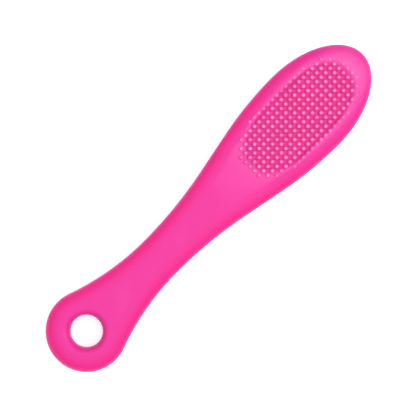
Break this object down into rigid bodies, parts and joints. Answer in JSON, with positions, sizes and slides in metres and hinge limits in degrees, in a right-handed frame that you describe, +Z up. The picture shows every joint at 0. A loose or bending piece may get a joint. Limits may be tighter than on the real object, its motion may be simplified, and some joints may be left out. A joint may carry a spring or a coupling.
{
  "type": "pet finger toothbrush",
  "caption": "Soft silicone finger toothbrush for pets: nubbed oval head with a fingertip hood behind it, flexible waisted handle and hanging eye.",
  "frame": {"origin": "centre of the footprint on the surface that the brush lies on, nub side up", "axes": "+X along the brush towards the head's tip, +Z up, +Y across the brush"},
  "size_m": [0.1042, 0.023, 0.0234],
  "materials": {
    "silicone": "satin"
  },
  "bodies": {
    "head": {"neck": "silicone", "head_sole": "silicone", "nub_bed": "silicone", "cleaning_nubs": "silicone", "finger_hood": "silicone", "hood_rim_bead": "silicone"},
    "handle": {"handle_grip": "silicone", "hanging_eye": "silicone"}
  },
  "joints": [
    {"name": "handle_flex", "type": "hinge", "parent": "head", "child": "handle", "pos_m": [-0.01269, 0, 0.00943], "axis": [0, 1, 0], "range_deg": [-15, 50], "stiffness_Nm_per_rad": 0.0125}
  ]
}
